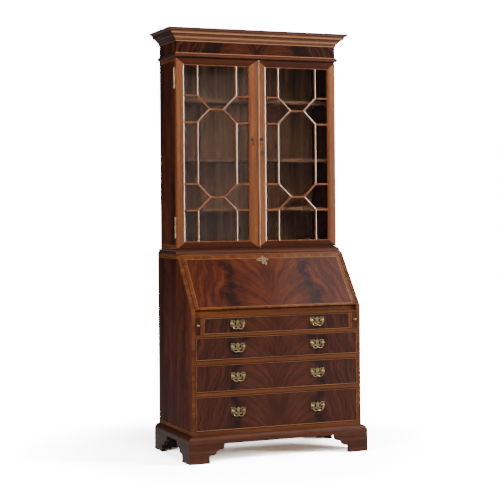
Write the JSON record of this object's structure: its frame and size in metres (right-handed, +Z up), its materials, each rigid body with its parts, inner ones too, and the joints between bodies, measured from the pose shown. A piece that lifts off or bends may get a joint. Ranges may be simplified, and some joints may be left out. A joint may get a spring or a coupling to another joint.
{
  "type": "secretary desk",
  "caption": "Slant-front desk with long drawers and a glazed bookcase above; doors, fall front, drawers, lopers and bail handles move.",
  "frame": {"origin": "middle of the footprint on the floor", "axes": "+Z up, -Y towards the user in front, +X to the right as seen from the front"},
  "size_m": [1.04, 0.554, 2.254],
  "materials": {
    "case_wood": "satin lacquer",
    "veneer": "satin lacquer over crotch veneer",
    "banding": "satin lacquer",
    "moulding_wood": "satin lacquer",
    "drawer_wood": "plain",
    "glass": "clear",
    "brass": "antique",
    "dark_brass": "dark antique"
  },
  "bodies": {
    "carcass": {"lower_side_left": "case_wood", "lower_side_right": "case_wood", "lower_back_panel": "drawer_wood", "dust_boards": "drawer_wood", "drawer_blades": "banding", "drawer_runners": "drawer_wood", "writing_deck": "case_wood", "desk_top_board": "moulding_wood", "base_moulding": "moulding_wood", "front_feet": "moulding_wood", "back_feet": "moulding_wood", "waist_moulding": "moulding_wood", "gallery_case": "banding", "upper_side_left": "case_wood", "upper_side_right": "case_wood", "upper_back_panel": "case_wood", "upper_boards": "case_wood", "bookcase_shelves": "case_wood", "frieze_board": "veneer", "frieze_bead": "moulding_wood", "cornice": "moulding_wood", "case_brass": "brass"},
    "door_left": {"door_left_frame": "moulding_wood", "door_left_bars": "moulding_wood", "door_left_glass": "glass", "door_left_fittings": "dark_brass"},
    "door_right": {"door_right_frame": "moulding_wood", "door_right_bars": "moulding_wood", "door_right_glass": "glass", "door_right_fittings": "dark_brass", "meeting_bead": "moulding_wood"},
    "drop_pull_left": {"door_left_drop_pull": "dark_brass"},
    "drop_pull_right": {"door_right_drop_pull": "dark_brass"},
    "key": {"door_key": "brass"},
    "fall": {"fall_board": "veneer", "fall_fittings": "brass"},
    "drawer_1": {"drawer_1_front": "veneer", "drawer_1_box": "drawer_wood", "drawer_1_plates": "brass"},
    "drawer_2": {"drawer_2_front": "veneer", "drawer_2_box": "drawer_wood", "drawer_2_plates": "brass"},
    "drawer_3": {"drawer_3_front": "veneer", "drawer_3_box": "drawer_wood", "drawer_3_plates": "brass"},
    "drawer_4": {"drawer_4_front": "veneer", "drawer_4_box": "drawer_wood", "drawer_4_plates": "brass"},
    "bail_1_left": {"bail_1_left": "brass"},
    "bail_1_right": {"bail_1_right": "brass"},
    "bail_2_left": {"bail_2_left": "brass"},
    "bail_2_right": {"bail_2_right": "brass"},
    "bail_3_left": {"bail_3_left": "brass"},
    "bail_3_right": {"bail_3_right": "brass"},
    "bail_4_left": {"bail_4_left": "brass"},
    "bail_4_right": {"bail_4_right": "brass"},
    "loper_left": {"loper_left": "case_wood"},
    "loper_right": {"loper_right": "case_wood"},
    "small_drawer_left": {"small_drawer_left": "banding"},
    "small_drawer_right": {"small_drawer_right": "banding"}
  },
  "joints": [
    {"name": "left_door_hinge", "type": "hinge", "parent": "carcass", "child": "door_left", "pos_m": [-0.465, 0.0275, 1.595], "axis": [0, 0, -1], "range_deg": [0, 120]},
    {"name": "right_door_hinge", "type": "hinge", "parent": "carcass", "child": "door_right", "pos_m": [0.465, 0.0275, 1.595], "axis": [0, 0, 1], "range_deg": [0, 120]},
    {"name": "left_drop_swing", "type": "hinge", "parent": "door_left", "child": "drop_pull_left", "pos_m": [-0.033, -0.013, 1.675], "axis": [-1, 0, 0], "range_deg": [0, 80]},
    {"name": "right_drop_swing", "type": "hinge", "parent": "door_right", "child": "drop_pull_right", "pos_m": [0.024, -0.013, 1.675], "axis": [-1, 0, 0], "range_deg": [0, 80]},
    {"name": "key_turn", "type": "hinge", "parent": "door_right", "child": "key", "pos_m": [0.027, 0, 1.6], "axis": [0, 1, 0], "range_deg": [0, 90]},
    {"name": "fall_hinge", "type": "hinge", "parent": "carcass", "child": "fall", "pos_m": [0, -0.2329, 0.77297], "axis": [1, 0, 0], "range_deg": [0, 127.78]},
    {"name": "drawer_1_slide", "type": "slide", "parent": "carcass", "child": "drawer_1", "axis": [0, -1, 0], "range_m": [0, 0.38]},
    {"name": "drawer_2_slide", "type": "slide", "parent": "carcass", "child": "drawer_2", "axis": [0, -1, 0], "range_m": [0, 0.38]},
    {"name": "drawer_3_slide", "type": "slide", "parent": "carcass", "child": "drawer_3", "axis": [0, -1, 0], "range_m": [0, 0.38]},
    {"name": "drawer_4_slide", "type": "slide", "parent": "carcass", "child": "drawer_4", "axis": [0, -1, 0], "range_m": [0, 0.38]},
    {"name": "bail_1_left_swing", "type": "hinge", "parent": "drawer_1", "child": "bail_1_left", "pos_m": [-0.2256, -0.259, 0.7068], "axis": [-1, 0, 0], "range_deg": [0, 90]},
    {"name": "bail_1_right_swing", "type": "hinge", "parent": "drawer_1", "child": "bail_1_right", "pos_m": [0.2256, -0.259, 0.7068], "axis": [-1, 0, 0], "range_deg": [0, 90]},
    {"name": "bail_2_left_swing", "type": "hinge", "parent": "drawer_2", "child": "bail_2_left", "pos_m": [-0.2256, -0.259, 0.58815], "axis": [-1, 0, 0], "range_deg": [0, 90]},
    {"name": "bail_2_right_swing", "type": "hinge", "parent": "drawer_2", "child": "bail_2_right", "pos_m": [0.2256, -0.259, 0.58815], "axis": [-1, 0, 0], "range_deg": [0, 90]},
    {"name": "bail_3_left_swing", "type": "hinge", "parent": "drawer_3", "child": "bail_3_left", "pos_m": [-0.2256, -0.259, 0.4374], "axis": [-1, 0, 0], "range_deg": [0, 90]},
    {"name": "bail_3_right_swing", "type": "hinge", "parent": "drawer_3", "child": "bail_3_right", "pos_m": [0.2256, -0.259, 0.4374], "axis": [-1, 0, 0], "range_deg": [0, 90]},
    {"name": "bail_4_left_swing", "type": "hinge", "parent": "drawer_4", "child": "bail_4_left", "pos_m": [-0.2256, -0.259, 0.25695], "axis": [-1, 0, 0], "range_deg": [0, 90]},
    {"name": "bail_4_right_swing", "type": "hinge", "parent": "drawer_4", "child": "bail_4_right", "pos_m": [0.2256, -0.259, 0.25695], "axis": [-1, 0, 0], "range_deg": [0, 90]},
    {"name": "loper_left_slide", "type": "slide", "parent": "carcass", "child": "loper_left", "axis": [0, -1, 0], "range_m": [0, 0.24]},
    {"name": "loper_right_slide", "type": "slide", "parent": "carcass", "child": "loper_right", "axis": [0, -1, 0], "range_m": [0, 0.24]},
    {"name": "small_drawer_left_slide", "type": "slide", "parent": "carcass", "child": "small_drawer_left", "axis": [0, -1, 0], "range_m": [0, 0.15]},
    {"name": "small_drawer_right_slide", "type": "slide", "parent": "carcass", "child": "small_drawer_right", "axis": [0, -1, 0], "range_m": [0, 0.15]}
  ]
}
